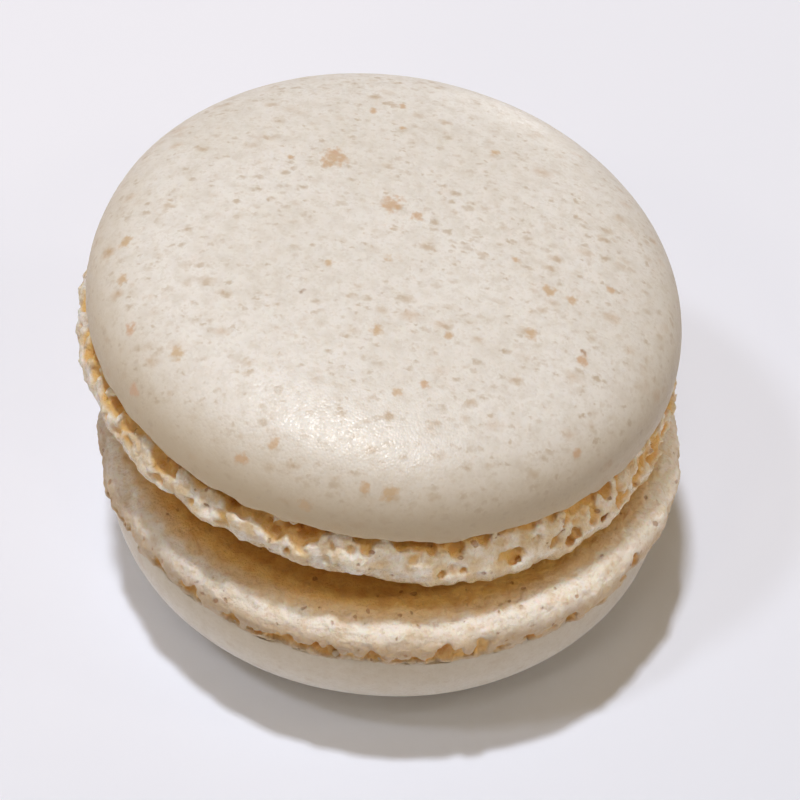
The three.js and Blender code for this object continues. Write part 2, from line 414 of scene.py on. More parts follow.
# %% [markdown]
# ### The lower shell's edge
# The lower shell lies upside down, and its foot folded out over the cap like an apron. Where the
# apron's edge tore, bites out of it show the amber froth behind. The side is undercut there and
# seen from above, so a bite has to reach 2 to 3 mm up from the lip to show at all. Those at the
# front are placed one by one, and those behind are spread by a rule that keeps them from looking
# evenly spaced.

# %% Bubbles of the lower shell
BITES = [  # turn in degrees, half length and half height in mm
    (-76, 0.8, 1.5), (-66, 0.4, 1.3), (-57, 0.8, 1.6), (-47, 0.8, 1.5), (-38, 0.9, 1.6),
    (-28, 0.8, 1.3), (-17, 1.4, 1.6), (-8, 0.6, 1.7), (0, 1.0, 1.4), (8, 0.5, 1.3),
    (15, 1.2, 2.0), (22, 1.5, 1.7), (31, 0.7, 1.3), (40, 0.5, 1.4), (47, 0.5, 1.3),
    (59, 0.8, 1.9), (70, 0.8, 1.3),
]
BEHIND = dict(turns=range(82, 276, 11), stray=5, beat=1.3, long=(0.5, 1.8), high=(0.6, 1.8))
BITE = dict(radius=(22.5, 22.9), high=(0.7, 1.15), wide=(0.3, 0.65), deep=(1.3, 1.8),
            tilt=(-25, 25))
NICK = dict(count=300, half=(0.16, 0.42), radius=22.1, heights=(-2.1, -0.4), tilt=(-30, 30))
LOWER_FOAM = dict(count=220, heights=(-4.0, -1.0), halves=(0.11, 0.24))
LOWER_PRICKS = 420


def lower_bubbles(draw):
    form = bmesh.new()
    behind = [(turn + BEHIND["stray"] * math.sin(BEHIND["beat"] * turn),
               draw.uniform(*BEHIND["long"]), draw.uniform(*BEHIND["high"]))
              for turn in BEHIND["turns"]]
    for seen_turn, long, high in BITES + behind:
        turn = 180 - seen_turn  # because this shell lies upside down
        for _ in range(2 + int(4 * long)):
            along = draw.uniform(-long, long)
            tall = high * draw.uniform(*BITE["high"]) * (1 - 0.35 * (along / long) ** 2)
            radius = draw.uniform(*BITE["radius"])
            half = (draw.uniform(*BITE["wide"]), draw.uniform(*BITE["deep"]), tall)
            add_bubble(form, turn + degrees_along(along), radius, -0.1 - 0.8 * tall, half,
                       draw.uniform(*BITE["tilt"]))
    for _ in range(NICK["count"]):  # all along the edge
        bite = draw.uniform(*NICK["half"])
        turn, height = draw.uniform(*ALL_ROUND), draw.uniform(*NICK["heights"])
        add_bubble(form, turn, NICK["radius"], height, (bite * 1.5, bite * 1.4, bite),
                   draw.uniform(*NICK["tilt"]))
    add_foam(form, draw, LOWER_SIDE, **LOWER_FOAM)
    add_face_pricks(form, draw, LOWER, LOWER_PRICKS)
    buckle(form)
    return form


print(f"{len(BITES)} bites at the front and {len(BEHIND['turns'])} behind")

# %% [markdown]
# ## Cut the bubbles out
# Overlapping spheres aren't one clean body, and cutting with them one by one takes minutes. A
# voxel remesh first melts all the bubbles into one closed surface, a single Boolean cuts that out
# of the ring, and a second voxel remesh gives the froth an even skin of small faces, in which each
# sharp rim is a little softened, as sugar softens it. What is then left of the flat parts is
# thinned by Decimate, which keeps the crags.

# %% Helpers that run a modifier for good
CUT_VOXEL, SKIN_VOXEL = 0.12, 0.13
RIM_SOFTNESS = 0.5
MOST_TRIANGLES = 185000


def to_object(form, name):
    mesh = bpy.data.meshes.new(name)
    form.to_mesh(mesh)
    form.free()
    made = bpy.data.objects.new(name, mesh)
    bpy.context.scene.collection.objects.link(made)
    return made


def run_modifier(piece, kind, **settings):
    modifier = piece.modifiers.new(kind.lower(), kind)
    for name, value in settings.items():
        setattr(modifier, name, value)
    bpy.context.view_layer.update()
    view = bpy.context.evaluated_depsgraph_get()
    mesh = bpy.data.meshes.new_from_object(piece.evaluated_get(view))
    piece.modifiers.clear()
    old, piece.data = piece.data, mesh
    bpy.data.meshes.remove(old)


def triangles(piece):
    return sum(len(face.vertices) - 2 for face in piece.data.polygons)


def carved_ring(name, form, bubbles):
    ring = to_object(form, name)
    cutter = to_object(bubbles, name + "_bubbles")
    run_modifier(cutter, "REMESH", mode="VOXEL", voxel_size=CUT_VOXEL)
    before = triangles(ring)
    run_modifier(ring, "BOOLEAN", operation="DIFFERENCE", solver="MANIFOLD", object=cutter)
    print(f"{name}: {before} triangles,",
          f"{triangles(ring)} once {triangles(cutter)} of bubbles are cut out")
    bpy.data.objects.remove(cutter)
    run_modifier(ring, "REMESH", mode="VOXEL", voxel_size=SKIN_VOXEL)
    ring.data.materials.clear()
    skin = bmesh.new()
    skin.from_mesh(ring.data)
    keep_largest_body(skin)
    bmesh.ops.smooth_vert(skin, verts=skin.verts, factor=RIM_SOFTNESS,
                          use_axis_x=True, use_axis_y=True, use_axis_z=True)
    skin.to_mesh(ring.data)
    skin.free()
    if triangles(ring) > MOST_TRIANGLES:
        run_modifier(ring, "DECIMATE", ratio=MOST_TRIANGLES / triangles(ring))
    print(f"{name}: {triangles(ring)} triangles, {time.time() - started:.0f} s")
    return ring


def keep_largest_body(form):
    """Deletes the crumbs that the cut left loose."""
    form.verts.ensure_lookup_table()
    body = [-1] * len(form.verts)
    sizes = []
    for first in form.verts:
        if body[first.index] >= 0:
            continue
        body[first.index] = len(sizes)
        reached, waiting = 1, [first]
        while waiting:
            for edge in waiting.pop().link_edges:
                for vert in edge.verts:
                    if body[vert.index] < 0:
                        body[vert.index] = len(sizes)
                        reached += 1
                        waiting.append(vert)
        sizes.append(reached)
    largest = sizes.index(max(sizes))
    loose = [vert for vert in form.verts if body[vert.index] != largest]
    bmesh.ops.delete(form, geom=loose, context="VERTS")


# %% Carve both rings
RING_STEPS, RING_POINTS_APART = 420, 0.3
UPPER_SEED, LOWER_SEED = 4, 9
upper_ring_form = spun(finer(ring_outline(UPPER, UPPER_SIDE), RING_POINTS_APART), RING_STEPS)
swell_ring(upper_ring_form, UPPER, seed=1, bosses=0.36, folds=0.3, rim_wave=0.34)
lower_ring_form = spun(finer(ring_outline(LOWER, LOWER_SIDE), RING_POINTS_APART), RING_STEPS)
swell_ring(lower_ring_form, LOWER, seed=2, bosses=0.09, folds=0.3, rim_wave=0.3)
print(f"swollen after {time.time() - started:.0f} s")
plain_upper = BVHTree.FromBMesh(upper_ring_form)
plain_lower = BVHTree.FromBMesh(lower_ring_form)
upper_cut = upper_bubbles(random.Random(UPPER_SEED))
upper_foot = carved_ring("upper_foot", upper_ring_form, upper_cut)
lower_cut = lower_bubbles(random.Random(LOWER_SEED))
lower_foot = carved_ring("lower_foot", lower_ring_form, lower_cut)

# %% [markdown]
# A cap's skin is painted darker and warmer towards its lip. How near each corner is to the lip is
# kept on the mesh itself, because the tipped and the upturned shell have no height in common that
# a material could read.

# %% Make both caps
SKIRT_HEIGHT = 6.5


def measure_skirt(cap):
    near_lip = [1 - smooth_step(vert.co.z, 0, SKIRT_HEIGHT) for vert in cap.data.vertices]
    cap.data.attributes.new("skirt", "FLOAT", "POINT").data.foreach_set("value", near_lip)


upper_cap_form = spun(cap_outline(UPPER), LIP_STEPS)
uneven_cap(upper_cap_form, seed=1, nub=1)
upper_cap = to_object(upper_cap_form, "upper_cap")
measure_skirt(upper_cap)
lower_cap_form = spun(cap_outline(LOWER, CROWN_CUT), LIP_STEPS)
uneven_cap(lower_cap_form, seed=2, nub=0)
lower_cap = to_object(lower_cap_form, "lower_cap")
measure_skirt(lower_cap)
print(f"caps: {triangles(upper_cap)} and {triangles(lower_cap)} triangles,",
      f"{time.time() - started:.0f} s")

# %% [markdown]
# ## Crumb, and where the froth is deep
# Three numbers are kept on each corner of the rings. "pocket" is how far, in millimetres, the
# surface lies under the uncut ring, found with a search tree of that ring: the deeper, the more
# amber the froth is painted, partly for sugar that browned there and partly as painted shade and
# bounced warm light. "inward" is how far in from the rim a point of the flat face lies, and the
# further in, the more painted shade the face takes. "baked" grows from 0 to 1 between two heights
# on the side and carries painted shade, darker crumb where the side turns down, away from the
# lamps. Then the finest relief is added, crumbs of 0.4 to 0.9 mm.

# %% Measure the froth and roughen it
FINE_CRUMB, FINE_CRUMB_WIDTH = 0.07, 0.42
COARSE_CRUMB, COARSE_CRUMB_WIDTH = 0.16, 0.85
CRUMB_FROM = 16.5


def measure_and_roughen(ring, size, plain, seed, pale_height, shaded_height):
    """The crumb is plain at pale_height and its painted shade is full at the second height."""
    shift = Vector((seed * 4.1, seed * 1.7, seed * 8.9))
    pocket = ring.data.attributes.new("pocket", "FLOAT", "POINT")
    inward = ring.data.attributes.new("inward", "FLOAT", "POINT")
    # baked holds painted shade: darker crumb where the side turns down, away from the lamps
    baked = ring.data.attributes.new("baked", "FLOAT", "POINT")
    depths, reaches, shades = [], [], []
    normals = [vert.normal.copy() for vert in ring.data.vertices]
    for vert, normal in zip(ring.data.vertices, normals):
        spot = vert.co.copy()
        radius = spot.xy.length
        depths.append(plain.find_nearest(spot)[3])
        on_face = smooth_step(-spot.z, size["foot_height"] - 0.9, size["foot_height"] - 0.3)
        reaches.append(on_face * max(0.0, size["foot_radius"] - radius))
        shade = (spot.z - pale_height) / (shaded_height - pale_height)
        shades.append(smooth_step(shade, 0, 1))
        if radius > CRUMB_FROM:
            crumb = FINE_CRUMB * noise.fractal((spot + shift) / FINE_CRUMB_WIDTH, 1.0, 2.0, 2)
            coarse = COARSE_CRUMB * smooth_step(radius, 18.5, 20.5)
            crumb += coarse * noise.noise((spot + shift) / COARSE_CRUMB_WIDTH)
            vert.co += normal * crumb
    pocket.data.foreach_set("value", depths)
    inward.data.foreach_set("value", reaches)
    baked.data.foreach_set("value", shades)
    print(f"{ring.name}: deepest pocket {max(depths):.1f} mm, {time.time() - started:.0f} s")


measure_and_roughen(upper_foot, UPPER, plain_upper, seed=3, pale_height=-3.5, shaded_height=-4.5)
measure_and_roughen(lower_foot, LOWER, plain_lower, seed=4, pale_height=-3.9, shaded_height=-2.5)

# %% [markdown]
# ## The filling
# Between the shells is a disc of caramel buttercream, piped in one turn and pressed until it
# bulged. It stops well short of the edge, so it only shows from low down. Its outline is spun too,
# and its top then follows the tipped underside of the upper shell.

# %% Filling
FILLING_RADIUS, FILLING_BULGE, FILLING_CORE = 16.4, 0.9, 8
FILLING_ROWS, FILLING_STEPS = 14, 220
GROOVES, GROOVE_DEPTH = 3, 0.12
SLOW_WAVE, SLOW_WAVE_WIDTH, RIPPLE, RIPPLE_WIDTH = 0.35, 5, 0.07, 1.3
BOND = 0.05  # how far the cream reaches into each shell
filling_middle = Vector((*SLIP / 2, 0))


def filling_form():
    side = []
    for k in range(FILLING_ROWS + 1):
        rise = k / FILLING_ROWS
        groove = GROOVE_DEPTH * math.cos(rise * 2 * GROOVES * math.pi)
        side.append((FILLING_RADIUS + FILLING_BULGE * math.sin(math.pi * rise) - groove, rise))
    outline = [(0, 0), (FILLING_CORE, 0), *side, (FILLING_CORE, 1), (0, 1)]
    form = spun(outline, FILLING_STEPS)
    roof_normal = UPPER_PLACE.to_3x3() @ Vector((0, 0, -1))
    roof_point = UPPER_PLACE @ Vector((0, 0, -UPPER["foot_height"]))
    for vert in form.verts:
        flat = Vector((vert.co.x, vert.co.y, 0))
        outwards = flat.normalized()
        vert.co += outwards * SLOW_WAVE * noise.noise(flat / SLOW_WAVE_WIDTH)
        vert.co += outwards * RIPPLE * noise.fractal(vert.co / RIPPLE_WIDTH, 1.0, 2.0, 2)
        spot = vert.co.xy + filling_middle.xy
        roof = roof_point.z - (roof_normal.xy @ (spot - roof_point.xy)) / roof_normal.z
        height = face_height - BOND + vert.co.z * (roof + BOND - face_height)
        vert.co = Vector((*spot, height))
    return form


filling = to_object(filling_form(), "filling_cream")
print(f"filling: {triangles(filling)} triangles")

# %% [markdown]
# ## Into place
# A piece's place goes into its mesh and not on its object, so every object stays at the origin.
# Patterns that read Object coordinates then lie still when the model is exported.

# %% Turn millimetres to metres and put each piece in its place
def settle(piece, place):
    form = bmesh.new()
    form.from_mesh(piece.data)
    form.transform(Matrix.Scale(MM, 4) @ place)
    form.to_mesh(piece.data)
    form.free()
    piece.data.shade_smooth()


for piece in (upper_cap, upper_foot):
    settle(piece, UPPER_PLACE)
for piece in (lower_cap, lower_foot):
    settle(piece, LOWER_PLACE)
settle(filling, Matrix.Identity(4))
print("all pieces are in metres and in place")

# %% [markdown]
# ## Flecks of almond
# Ground almond keeps bits of brown skin, and a handful of them are large enough to be seen one by
# one. Each is placed by where it lies in the 800 pixel frame, by sending a ray from the camera
# through that pixel to the cap. What is kept on the cap's corners isn't a colour but a reach: 1 in
# the middle of a fleck, falling to 0 at its edge, so that the material can cut a crisp ragged
# outline through it however coarse the mesh is.

# %% Place the large flecks
FRAME_PIXELS = 800
FLECK_SPREAD, FLECK_FADE = 1.2, 2.2  # larger than its half size, and where its reach ends
# Pixel across, pixel down, half size in mm, and hue: 0 is tan, 1 reddish and 2 dark brown.
LARGE_FLECKS = [
    (335, 157, 0.85, 0.5), (327, 163, 0.45, 0.5), (392, 204, 0.8, 0.6), (416, 217, 0.45, 0.6),
    (391, 229, 0.5, 0.6), (290, 157, 0.3, 0.4), (374, 111, 0.35, 0.5), (403, 129, 0.3, 0.4),
    (126, 242, 0.5, 0.2), (122, 279, 0.45, 0.3), (130, 329, 0.45, 0.9), (177, 353, 0.5, 0.1),
    (376, 330, 0.45, 0.2), (388, 258, 0.4, 0.1), (330, 263, 0.35, 0.2), (397, 392, 0.35, 0.3),
    (425, 385, 0.35, 0.6), (274, 444, 0.4, 0.4), (241, 459, 0.45, 0.6), (305, 505, 0.5, 0.3),
    (390, 494, 0.6, 0.2), (364, 488, 0.35, 0.4), (134, 391, 0.5, 1.0), (549, 291, 0.5, 0.3),
    (572, 300, 0.4, 0.4), (532, 334, 0.45, 0.3), (583, 361, 0.4, 0.7), (611, 290, 0.3, 0.5),
    (495, 153, 0.4, 0.2), (403, 106, 0.3, 0.5), (577, 454, 0.35, 0.7), (517, 260, 0.3, 0.4),
    (302, 291, 0.25, 2.0), (583, 352, 0.2, 1.6), (335, 152, 0.25, 1.0), (450, 335, 0.35, 0.3),
]


def on_cap(across, down, tree):
    """Where the ray through a pixel meets the cap."""
    half = SENSOR / 2 / LENS
    ray = Vector(((across / FRAME_PIXELS * 2 - 1) * half,
                  (1 - down / FRAME_PIXELS * 2) * half, -1))
    turn = camera.matrix_world.to_3x3().normalized()
    return tree.ray_cast(camera.matrix_world.translation, turn @ ray.normalized())[0]


bpy.context.view_layer.update()
cap_shape = bmesh.new()
cap_shape.from_mesh(upper_cap.data)
cap_tree = BVHTree.FromBMesh(cap_shape)
cap_shape.free()
spots = [(on_cap(across, down, cap_tree), FLECK_SPREAD * half * MM, red)
         for across, down, half, red in LARGE_FLECKS]
spots = [spot for spot in spots if spot[0]]
fleck_values, red_values = [], []
for vert in upper_cap.data.vertices:
    best, best_red = 0.0, 0.0
    for centre, half, red in spots:
        away = (vert.co - centre).length
        if away < FLECK_FADE * half:
            reach = 1 - away / (FLECK_FADE * half)
            if reach > best:
                best, best_red = reach, red
    fleck_values.append(best)
    red_values.append(best_red)
upper_cap.data.attributes.new("fleck", "FLOAT", "POINT").data.foreach_set("value", fleck_values)
upper_cap.data.attributes.new("fleck_red", "FLOAT", "POINT").data.foreach_set("value", red_values)
print(f"{len(spots)} large flecks placed, {time.time() - started:.0f} s")

# %% [markdown]
# ## Materials
# Baked almond meringue is sugar glass full of air. Light goes a few millimetres into it and comes
# out warmer, which subsurface scattering gives. The skin of the cap is satin: it dried slowly, and
# its grain is the grain of the ground almond, 0.1 to 0.2 mm.

# %% Colours and a way to add nodes
def colour(hex_code):
    """An sRGB hex value as the linear colour that a shader wants."""
    parts = [int(hex_code[k:k + 2], 16) / 255 for k in (0, 2, 4)]
    linear = [part / 12.92 if part <= 0.04045 else ((part + 0.055) / 1.055) ** 2.4
              for part in parts]
    return (*linear, 1)


def add(tree, kind, settings=None, inputs=None):
    """Adds a shader node. An input is a value, or the output socket that feeds it."""
    made = tree.nodes.new("ShaderNode" + kind)
    for name, value in (settings or {}).items():
        setattr(made, name, value)
    for socket, value in (inputs or {}).items():
        if isinstance(value, bpy.types.NodeSocket):
            tree.links.new(value, made.inputs[socket])
        else:
            made.inputs[socket].default_value = value
    return made


def new_material(name):
    material = bpy.data.materials.new(name)
    material.use_nodes = True
    material.node_tree.nodes.clear()
    return material, material.node_tree


def per_mm(size):
    """The scale of a texture whose features are this many millimetres apart."""
    return 1 / (size * MM)


MIX = {"data_type": "RGBA"}
EVEN, SOFT = {"interpolation_type": "LINEAR"}, {"interpolation_type": "SMOOTHSTEP"}
MIX_FACTOR, MIX_A, MIX_B, MIX_RESULT = 0, 6, 7, 2


def lay_over(tree, painted, layers):
    """Lays tones over painted, each by how far its source has come from low to high."""
    for source, low, high, most, way, tone in layers:
        share = add(tree, "MapRange", way, {
            "Value": source, "From Min": low, "From Max": high, "To Max": most})
        painted = add(tree, "Mix", MIX, {
            MIX_FACTOR: share.outputs["Result"], MIX_A: painted, MIX_B: tone}).outputs[MIX_RESULT]
    return painted


print("cream is", [round(part, 3) for part in colour("ECE8E0")[:3]], "as linear colour")

# %% [markdown]
# ### The cap's skin
# Cream, with clouds of slightly warmer and greyer tone, small flecks of almond in four sizes, and
# the large ones placed above. A fleck's outline is cut from a distance with noise added, so none
# is a neat disc. Each grain of ground almond also has its own roughness, so the skin glitters a
# little instead of shining. The lower cap has the same skin with fewer and fainter flecks.

# %% Skin of the cap
CAP_CREAM, CAP_CLOUD, CAP_SHADE, CAP_SKIRT = "ECE8E0", "E6E1D7", "CFC5B4", "C6B392"
FLECK_TAN, FLECK_RED, FLECK_DARK = "CDB38C", "D0AB8A", "97785C"
CLOUD_WIDTH, MOTTLE_WIDTH, ALMOND_GRAIN, RAGGED_WIDTH = 7, 1.1, 0.2, 0.45  # mm
ALMOND_RELIEF, ROUGHEST, SMOOTHEST = 0.03, 0.5, 0.3
# Millimetres between them, share of places taken, largest half size in spacings, colour, strength.
FLECKS = [
    (0.45, 0.60, 0.42, "C0AD92", 0.70),
    (0.7, 0.60, 0.42, "BCA789", 0.72),
    (1.1, 0.60, 0.36, "C0A785", 0.78),
    (1.9, 0.50, 0.27, "C4A47C", 0.88),
]


def skin_material(name, with_large_flecks, skirt_share, fleck_share):
    material, tree = new_material(name)
    here = add(tree, "TexCoord").outputs["Object"]
    clouds = add(tree, "TexNoise", inputs={
        "Vector": here, "Scale": per_mm(CLOUD_WIDTH), "Detail": 3.0})
    mottle = add(tree, "TexNoise", inputs={
        "Vector": here, "Scale": per_mm(MOTTLE_WIDTH), "Detail": 5.0})
    grain = add(tree, "TexVoronoi", inputs={"Vector": here, "Scale": per_mm(ALMOND_GRAIN)})
    grain_lot = add(tree, "SeparateColor", inputs={"Color": grain.outputs["Color"]})
    near_lip = add(tree, "Attribute", {"attribute_name": "skirt"})
    painted = lay_over(tree, colour(CAP_CREAM), [
        (clouds.outputs["Fac"], 0.4, 0.7, 1.0, EVEN, colour(CAP_CLOUD)),
        (mottle.outputs["Fac"], 0.44, 0.8, 0.5, EVEN, colour(CAP_SHADE)),
        (grain_lot.outputs[0], 0.5, 1.0, 0.3, EVEN, colour(CAP_SHADE)),
        (near_lip.outputs["Fac"], 0.0, 1.0, skirt_share, EVEN, colour(CAP_SKIRT)),
    ])
    wobble = add(tree, "TexNoise", inputs={
        "Vector": here, "Scale": per_mm(RAGGED_WIDTH), "Detail": 3.0})
    ragged = add(tree, "VectorMath", {"operation": "MULTIPLY_ADD"}, {
        0: wobble.outputs["Color"], 1: (0.7 * MM,) * 3, 2: here})
    bent = add(tree, "VectorMath", {"operation": "MULTIPLY"}, {
        0: ragged.outputs[0], 1: (0.62, 1.0, 1.0)}).outputs[0]
    for spacing, presence, widest, hue, strength in FLECKS:
        cells = add(tree, "TexVoronoi", inputs={"Vector": bent, "Scale": per_mm(spacing)})
        lot = add(tree, "SeparateColor", inputs={"Color": cells.outputs["Color"]})
        chosen = add(tree, "Math", {"operation": "LESS_THAN"}, {
            0: lot.outputs[0], 1: presence})
        reach = add(tree, "MapRange", inputs={
            "Value": lot.outputs[1], "To Min": 0.3 * widest, "To Max": widest})
        inside = add(tree, "Math", {"operation": "SUBTRACT"}, {
            0: reach.outputs["Result"], 1: cells.outputs["Distance"]})
        edge = add(tree, "MapRange", SOFT, {
            "Value": inside.outputs[0], "From Min": -0.18, "From Max": 0.3,
            "To Max": strength * fleck_share})
        shown = add(tree, "Math", {"operation": "MULTIPLY"}, {
            0: edge.outputs["Result"], 1: chosen.outputs[0]})
        faded = add(tree, "Math", {"operation": "MULTIPLY"}, {
            0: shown.outputs[0], 1: lot.outputs[2]})
        painted = add(tree, "Mix", MIX, {
            MIX_FACTOR: faded.outputs[0], MIX_A: painted, MIX_B: colour(hue)}).outputs[MIX_RESULT]
    if with_large_flecks:
        painted = paint_large_flecks(tree, painted, wobble)
    height = add(tree, "Math", {"operation": "MULTIPLY_ADD"}, {
        0: grain.outputs["Distance"], 1: -0.5, 2: mottle.outputs["Fac"]})
    relief = add(tree, "Bump", inputs={
        "Height": height.outputs[0], "Strength": 1.0, "Distance": ALMOND_RELIEF * MM})
    gloss = add(tree, "MapRange", inputs={
        "Value": grain_lot.outputs[1], "To Min": ROUGHEST, "To Max": SMOOTHEST})
    shader = add(tree, "BsdfPrincipled", inputs={
        "Base Color": painted, "Roughness": gloss.outputs["Result"], "IOR": 1.45,
        "Subsurface Weight": 0.25, "Subsurface Radius": (1.0, 0.8, 0.6),
        "Subsurface Scale": 1.0 * MM, "Normal": relief.outputs["Normal"]})
    add(tree, "OutputMaterial", inputs={"Surface": shader.outputs["BSDF"]})
    return material


def paint_large_flecks(tree, under, wobble):
    reach = add(tree, "Attribute", {"attribute_name": "fleck"})
    red = add(tree, "Attribute", {"attribute_name": "fleck_red"})
    ragged = add(tree, "Math", {"operation": "MULTIPLY_ADD"}, {
        0: wobble.outputs["Fac"], 1: 0.9, 2: reach.outputs["Fac"]})
    hue = lay_over(tree, colour(FLECK_TAN), [
        (red.outputs["Fac"], 0.0, 1.0, 1.0, EVEN, colour(FLECK_RED)),
        (red.outputs["Fac"], 1.0, 2.0, 1.0, EVEN, colour(FLECK_DARK))])
    return lay_over(tree, under, [(ragged.outputs[0], 0.9, 1.3, 0.85, SOFT, hue)])


# %% [markdown]
# ### The froth
# The outer crumb is pale and sugary. The walls of the pockets are painted honey and then amber
# with
# depth: partly the sugar that browned there, partly painted shade and the warm light bounced
# between the walls. The flat face is painted tan and then amber the further in from its rim it
# lies, as painted shade under the upper shell. The crumb low on the side, where it turns down, the
# low parts of the grain and the small pits are painted in shade as well, the grain with some brown
# sugar.

# %% Froth of the foot
CRUMB_PALE, CREVICE_SUGAR_AND_SHADE = "EFE8DC", "C4A070"
# pocket colours: sugar that browned, with painted shade and bounced warm light
HONEY_BROWNING_AND_SHADE, AMBER_BROWNING_AND_SHADE = "E2B86E", "CE8C34"
# the flat face's three tones are painted shade under the upper shell, and the last is painted
# shade in small pits
FACE_SHADE_TAN, FACE_SHADE_AMBER, FACE_SHADE_BROWN, PRICK_SHADE = "E4C798", "E8C070", "D6A45A", "9A6230"
PATCH_WIDTH, PRICKS_APART, SUGAR_GRAIN, SUGAR_RELIEF = 1.2, 0.8, 0.45, 0.26  # mm
HONEY_DEPTHS, AMBER_DEPTHS = (0.06, 0.42), (0.4, 1.1)  # where each begins and is full, in mm
TAN_REACH, AMBER_SHADE_REACH = (1.7, 2.6), (2.5, 3.7)  # mm in from the rim of the flat face


def froth_material(name, driest, glossiest, warm_from, warm_tone, underside_shade_tone):
    """driest and glossiest are roughnesses. A low warm_from gives more patches of warm_tone."""
    material, tree = new_material(name)
    here = add(tree, "TexCoord").outputs["Object"]
    patches = add(tree, "TexNoise", inputs={
        "Vector": here, "Scale": per_mm(PATCH_WIDTH), "Detail": 6.0})
    baked = add(tree, "Attribute", {"attribute_name": "baked"})
    pocket = add(tree, "Attribute", {"attribute_name": "pocket"})
    inward = add(tree, "Attribute", {"attribute_name": "inward"})
    ragged = add(tree, "Math", {"operation": "MULTIPLY_ADD"}, {
        0: patches.outputs["Fac"], 1: 1.2, 2: inward.outputs["Fac"]})
    # the flat face's painted shade, amber with browner patches
    face_shade = lay_over(tree, colour(FACE_SHADE_AMBER), [
        (patches.outputs["Fac"], 0.4, 0.65, 1.0, EVEN, colour(FACE_SHADE_BROWN))])
    bent = add(tree, "VectorMath", {"operation": "MULTIPLY_ADD"}, {
        0: patches.outputs["Color"], 1: (0.9 * MM,) * 3, 2: here})
    dots = add(tree, "TexVoronoi", inputs={
        "Vector": bent.outputs[0], "Scale": per_mm(PRICKS_APART)})
    lot = add(tree, "SeparateColor", inputs={"Color": dots.outputs["Color"]})
    dot_size = add(tree, "MapRange", inputs={
        "Value": lot.outputs[0], "From Min": 0.4, "To Min": -0.1, "To Max": 0.32})
    dot = add(tree, "MapRange", SOFT, {
        "Value": add(tree, "Math", {"operation": "SUBTRACT"}, {
            0: dot_size.outputs["Result"], 1: dots.outputs["Distance"]}).outputs[0],
        "From Min": -0.05, "From Max": 0.1, "To Max": 0.6})
    grain = add(tree, "TexNoise", inputs={
        "Vector": here, "Scale": per_mm(SUGAR_GRAIN), "Detail": 5.0, "Roughness": 0.65})
    painted = lay_over(tree, colour(CRUMB_PALE), [
        (patches.outputs["Fac"], warm_from, warm_from + 0.22, 0.9, EVEN, colour(warm_tone)),
        # painted shade on the crumb where the side turns down
        (baked.outputs["Fac"], 0.0, 1.0, 1.0, EVEN, colour(underside_shade_tone)),
        # painted honey and amber in the pockets: browned sugar with painted shade
        (pocket.outputs["Fac"], *HONEY_DEPTHS, 1.0, SOFT, colour(HONEY_BROWNING_AND_SHADE)),
        (pocket.outputs["Fac"], *AMBER_DEPTHS, 1.0, SOFT, colour(AMBER_BROWNING_AND_SHADE)),
        # painted shade on the flat face, the further in from the rim the more
        (ragged.outputs[0], *TAN_REACH, 1.0, SOFT, colour(FACE_SHADE_TAN)),
        (ragged.outputs[0], *AMBER_SHADE_REACH, 1.0, SOFT, face_shade),
        # painted shade in the small pits
        (dot.outputs["Result"], 0.0, 1.0, 1.0, EVEN, colour(PRICK_SHADE)),
        # painted shade, with some brown sugar, in the low parts of the grain
        (grain.outputs["Fac"], 0.5, 0.3, 0.45, EVEN, colour(CREVICE_SUGAR_AND_SHADE)),  # the grain's low parts
    ])
    sunk = add(tree, "Math", {"operation": "MULTIPLY_ADD"}, {
        0: dot.outputs["Result"], 1: -0.6, 2: grain.outputs["Fac"]})
    relief = add(tree, "Bump", inputs={
        "Height": sunk.outputs[0], "Strength": 1.0, "Distance": SUGAR_RELIEF * MM})
    gloss = add(tree, "MapRange", inputs={
        "Value": grain.outputs["Fac"], "From Min": 0.4, "From Max": 0.62,
        "To Min": driest, "To Max": glossiest})
    shader = add(tree, "BsdfPrincipled", inputs={
        "Base Color": painted, "Roughness": gloss.outputs["Result"], "IOR": 1.5,
        "Subsurface Weight": 0.35, "Subsurface Radius": (1.0, 0.6, 0.25),
        "Subsurface Scale": 1.0 * MM, "Normal": relief.outputs["Normal"]})
    add(tree, "OutputMaterial", inputs={"Surface": shader.outputs["BSDF"]})
    return material


# %% [markdown]
# ### The filling
# Caramel buttercream: fat and sugar beaten smooth, a soft gloss with a few fine bubbles in it.

# %% Caramel buttercream
CARAMEL, LIGHT_CARAMEL = "B98445", "CB9A5B"
STREAK_WIDTH, CREAM_BUBBLE, CREAM_RELIEF = 3, 0.4, 0.05  # mm


def cream_material(name):
    material, tree = new_material(name)
    here = add(tree, "TexCoord").outputs["Object"]
    streaks = add(tree, "TexNoise", inputs={
        "Vector": here, "Scale": per_mm(STREAK_WIDTH), "Detail": 3.0})
    tone = add(tree, "Mix", MIX, {
        MIX_FACTOR: streaks.outputs["Fac"], MIX_A: colour(CARAMEL), MIX_B: colour(LIGHT_CARAMEL)})
    fine = add(tree, "TexNoise", inputs={
        "Vector": here, "Scale": per_mm(CREAM_BUBBLE), "Detail": 3.0})
    relief = add(tree, "Bump", inputs={
        "Height": fine.outputs["Fac"], "Strength": 0.4, "Distance": CREAM_RELIEF * MM})
    gloss = add(tree, "MapRange", inputs={
        "Value": fine.outputs["Fac"], "To Min": 0.35, "To Max": 0.55})
    shader = add(tree, "BsdfPrincipled", inputs={
        "Base Color": tone.outputs[MIX_RESULT], "Roughness": gloss.outputs["Result"], "IOR": 1.46,
        "Subsurface Weight": 0.4, "Subsurface Radius": (1.0, 0.5, 0.2),
        "Subsurface Scale": 1.5 * MM, "Normal": relief.outputs["Normal"]})
    add(tree, "OutputMaterial", inputs={"Surface": shader.outputs["BSDF"]})
    return material


# %% [markdown]
# ## Dress the pieces and tie them to the frame
# The froth of the upper foot is sugary and glints, and that of the lower one is drier and duller.
# Each shell's cap and foot together stand for that shell's solid, because in the oven they were
# one piece.

